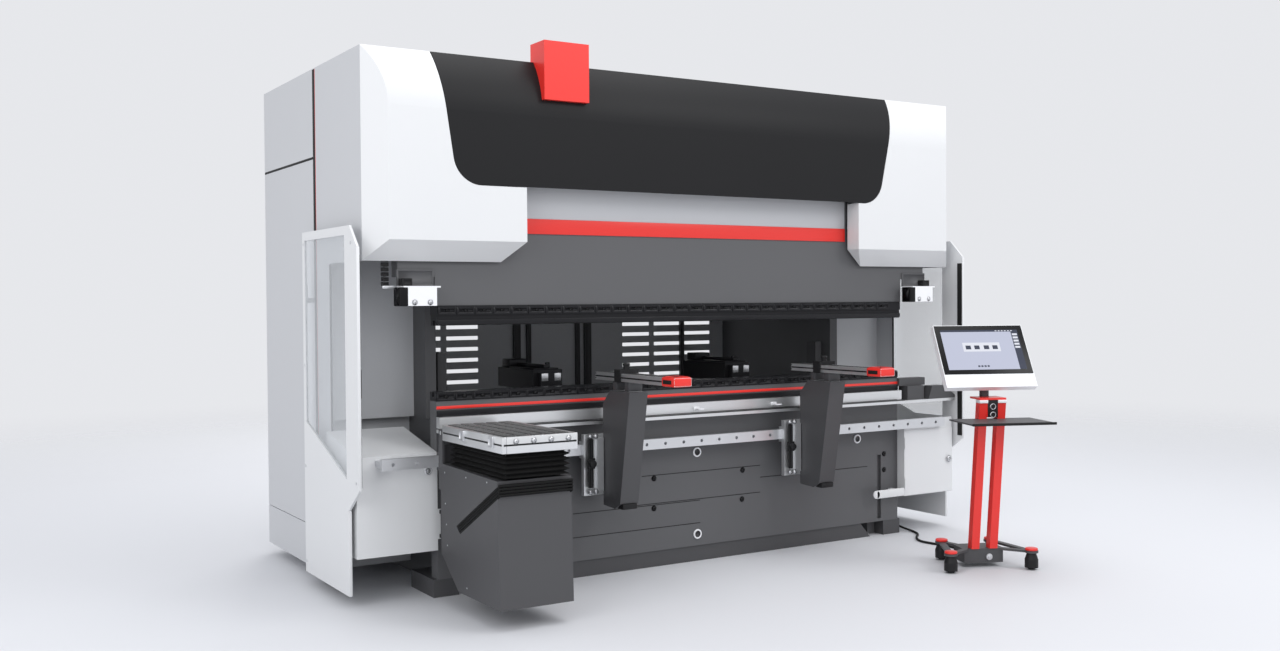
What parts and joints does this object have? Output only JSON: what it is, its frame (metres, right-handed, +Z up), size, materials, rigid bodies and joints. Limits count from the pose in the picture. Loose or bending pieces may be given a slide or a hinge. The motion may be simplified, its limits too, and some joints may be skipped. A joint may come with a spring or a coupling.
{
  "type": "press brake",
  "caption": "Hydraulic sheet-metal press brake with front supports, a sheet follower, side guards, a back gauge and an operator terminal on a rolling stand.",
  "frame": {"origin": "middle of the bending line, on the floor", "axes": "+X along the bending line to the right as the operator sees it, +Y to the back of the machine, +Z up"},
  "size_m": [3.996, 3.0835, 2.8],
  "materials": {
    "cover_white": "satin",
    "panel_grey": "satin",
    "hood_black": "satin",
    "signal_red": "satin",
    "machine_grey": "textured",
    "dark_grey": "textured",
    "black_steel": "satin",
    "aluminium": "anodised",
    "bright_steel": "ground",
    "black_plastic": "moulded",
    "white_plastic": "moulded",
    "black_rubber": "moulded",
    "bellows_fabric": "coated",
    "clear_pane": "clear"
  },
  "bodies": {
    "machine": {"machine_frame": "machine_grey", "bed_beam": "machine_grey", "base_plinth": "dark_grey", "table_rail": "black_steel", "table_front_plates": "aluminium", "support_rail": "bright_steel", "hood_panel": "hood_black", "front_covers": "cover_white", "badge_box": "signal_red", "side_panels": "panel_grey", "rear_cabinets": "panel_grey", "roof_and_rear_panels": "panel_grey", "hydraulic_cylinders": "dark_grey", "linear_guides": "bright_steel", "power_pack": "machine_grey", "storage_boxes": "cover_white", "table_end_units": "dark_grey", "cable_glands": "black_plastic", "terminal_cable": "black_rubber", "stand_base": "dark_grey", "stand_uprights": "signal_red", "keyboard_shelf": "dark_grey"},
    "ram": {"ram_beam": "machine_grey", "upper_clamp": "black_steel", "piston_rods": "bright_steel", "safety_sensors": "white_plastic"},
    "gauge_carriage": {"gauge_carriage": "dark_grey"},
    "gauge_beam": {"gauge_beam": "aluminium"},
    "left_finger": {"left_gauge_finger": "black_steel"},
    "right_finger": {"right_gauge_finger": "black_steel"},
    "left_support": {"left_support_carriage": "aluminium"},
    "right_support": {"right_support_carriage": "aluminium"},
    "left_column": {"left_support_column": "dark_grey", "left_support_arm": "aluminium"},
    "right_column": {"right_support_column": "dark_grey", "right_support_arm": "aluminium"},
    "left_stop": {"left_support_stop": "black_plastic"},
    "right_stop": {"right_support_stop": "black_plastic"},
    "follower": {"follower_housing": "dark_grey", "follower_bellows": "bellows_fabric"},
    "follower_table": {"follower_table": "aluminium"},
    "left_guard": {"left_guard": "cover_white", "left_guard_window": "clear_pane"},
    "right_guard": {"right_guard": "cover_white", "right_guard_window": "clear_pane"},
    "left_rear_door": {"left_rear_door": "panel_grey"},
    "right_rear_door": {"right_rear_door": "panel_grey"},
    "storage_door": {"storage_door": "cover_white"},
    "monitor_neck": {"monitor_neck": "dark_grey"},
    "monitor": {"monitor": "white_plastic"},
    "lower_button": {"lower_button": "black_plastic"},
    "upper_button": {"upper_button": "black_plastic"},
    "caster_1": {"caster_1_hood": "black_plastic"},
    "wheel_1": {"caster_1_wheel": "black_rubber"},
    "caster_2": {"caster_2_hood": "black_plastic"},
    "wheel_2": {"caster_2_wheel": "black_rubber"},
    "caster_3": {"caster_3_hood": "black_plastic"},
    "wheel_3": {"caster_3_wheel": "black_rubber"},
    "caster_4": {"caster_4_hood": "black_plastic"},
    "wheel_4": {"caster_4_wheel": "black_rubber"}
  },
  "joints": [
    {"name": "ram_stroke", "type": "slide", "parent": "machine", "child": "ram", "axis": [0, 0, 1], "range_m": [-0.205, 0]},
    {"name": "gauge_depth", "type": "slide", "parent": "machine", "child": "gauge_carriage", "axis": [0, 1, 0], "range_m": [-0.2, 0.55]},
    {"name": "gauge_height", "type": "slide", "parent": "gauge_carriage", "child": "gauge_beam", "axis": [0, 0, 1], "range_m": [0, 0.15]},
    {"name": "left_finger_shift", "type": "slide", "parent": "gauge_beam", "child": "left_finger", "axis": [1, 0, 0], "range_m": [-0.4, 0.5]},
    {"name": "right_finger_shift", "type": "slide", "parent": "gauge_beam", "child": "right_finger", "axis": [1, 0, 0], "range_m": [-0.6, 0.55]},
    {"name": "left_support_shift", "type": "slide", "parent": "machine", "child": "left_support", "axis": [1, 0, 0], "range_m": [-0.3, 0.45]},
    {"name": "right_support_shift", "type": "slide", "parent": "machine", "child": "right_support", "axis": [1, 0, 0], "range_m": [-0.5, 0.2]},
    {"name": "left_support_lift", "type": "slide", "parent": "left_support", "child": "left_column", "axis": [0, 0, 1], "range_m": [-0.03, 0.1]},
    {"name": "right_support_lift", "type": "slide", "parent": "right_support", "child": "right_column", "axis": [0, 0, 1], "range_m": [-0.03, 0.1]},
    {"name": "left_stop_shift", "type": "slide", "parent": "left_column", "child": "left_stop", "axis": [0, 1, 0], "range_m": [-0.1, 0.1]},
    {"name": "right_stop_shift", "type": "slide", "parent": "right_column", "child": "right_stop", "axis": [0, 1, 0], "range_m": [-0.1, 0.1]},
    {"name": "follower_shift", "type": "slide", "parent": "machine", "child": "follower", "axis": [1, 0, 0], "range_m": [-0.1, 0.1]},
    {"name": "follower_tilt", "type": "hinge", "parent": "follower", "child": "follower_table", "pos_m": [-1.398, -0.15, 0.838], "axis": [-1, 0, 0], "range_deg": [0, 30], "deforming": ["follower_bellows"]},
    {"name": "left_guard_hinge", "type": "hinge", "parent": "machine", "child": "left_guard", "pos_m": [-1.98, 0.704, 0.985], "axis": [0, 0, -1], "range_deg": [0, 100]},
    {"name": "right_guard_hinge", "type": "hinge", "parent": "machine", "child": "right_guard", "pos_m": [1.98, 0.704, 0.985], "axis": [0, 0, 1], "range_deg": [0, 100]},
    {"name": "left_rear_hinge", "type": "hinge", "parent": "machine", "child": "left_rear_door", "pos_m": [-1.406, 1.613, 1.335], "axis": [0, 0, 1], "range_deg": [0, 110]},
    {"name": "right_rear_hinge", "type": "hinge", "parent": "machine", "child": "right_rear_door", "pos_m": [1.406, 1.613, 1.335], "axis": [0, 0, -1], "range_deg": [0, 110]},
    {"name": "storage_hinge", "type": "hinge", "parent": "machine", "child": "storage_door", "pos_m": [1.55, -0.091, 0.45], "axis": [0, 0, -1], "range_deg": [0, 100]},
    {"name": "monitor_swivel", "type": "hinge", "parent": "machine", "child": "monitor_neck", "pos_m": [1.23324, -1.02844, 0.97], "axis": [0, 0, 1], "range_deg": [-30, 30]},
    {"name": "monitor_tilt", "type": "hinge", "parent": "monitor_neck", "child": "monitor", "pos_m": [1.24653, -0.99714, 1.118], "axis": [0.9205, -0.3907, 0], "range_deg": [-15, 8]},
    {"name": "lower_button_push", "type": "slide", "parent": "machine", "child": "lower_button", "axis": [0.3907, 0.9205, 0], "range_m": [0, 0.004], "stiffness_N_per_m": 400},
    {"name": "upper_button_push", "type": "slide", "parent": "machine", "child": "upper_button", "axis": [0.3907, 0.9205, 0], "range_m": [0, 0.004], "stiffness_N_per_m": 400},
    {"name": "caster_1_swivel", "type": "hinge", "parent": "machine", "child": "caster_1", "pos_m": [0.98505, -1.02195, 0.098], "axis": [0, 0, 1], "continuous": true},
    {"name": "caster_1_roll", "type": "hinge", "parent": "caster_1", "child": "wheel_1", "pos_m": [0.98505, -1.02195, 0.024], "axis": [0.9205, -0.3907, 0], "continuous": true},
    {"name": "caster_2_swivel", "type": "hinge", "parent": "machine", "child": "caster_2", "pos_m": [1.41032, -1.20246, 0.098], "axis": [0, 0, 1], "continuous": true},
    {"name": "caster_2_roll", "type": "hinge", "parent": "caster_2", "child": "wheel_2", "pos_m": [1.41032, -1.20246, 0.024], "axis": [0.9205, -0.3907, 0], "continuous": true},
    {"name": "caster_3_swivel", "type": "hinge", "parent": "machine", "child": "caster_3", "pos_m": [1.19433, -0.74902, 0.098], "axis": [0, 0, 1], "continuous": true},
    {"name": "caster_3_roll", "type": "hinge", "parent": "caster_3", "child": "wheel_3", "pos_m": [1.19433, -0.74902, 0.024], "axis": [0.9205, -0.3907, 0], "continuous": true},
    {"name": "caster_4_swivel", "type": "hinge", "parent": "machine", "child": "caster_4", "pos_m": [1.46127, -0.86233, 0.098], "axis": [0, 0, 1], "continuous": true},
    {"name": "caster_4_roll", "type": "hinge", "parent": "caster_4", "child": "wheel_4", "pos_m": [1.46127, -0.86233, 0.024], "axis": [0.9205, -0.3907, 0], "continuous": true}
  ]
}
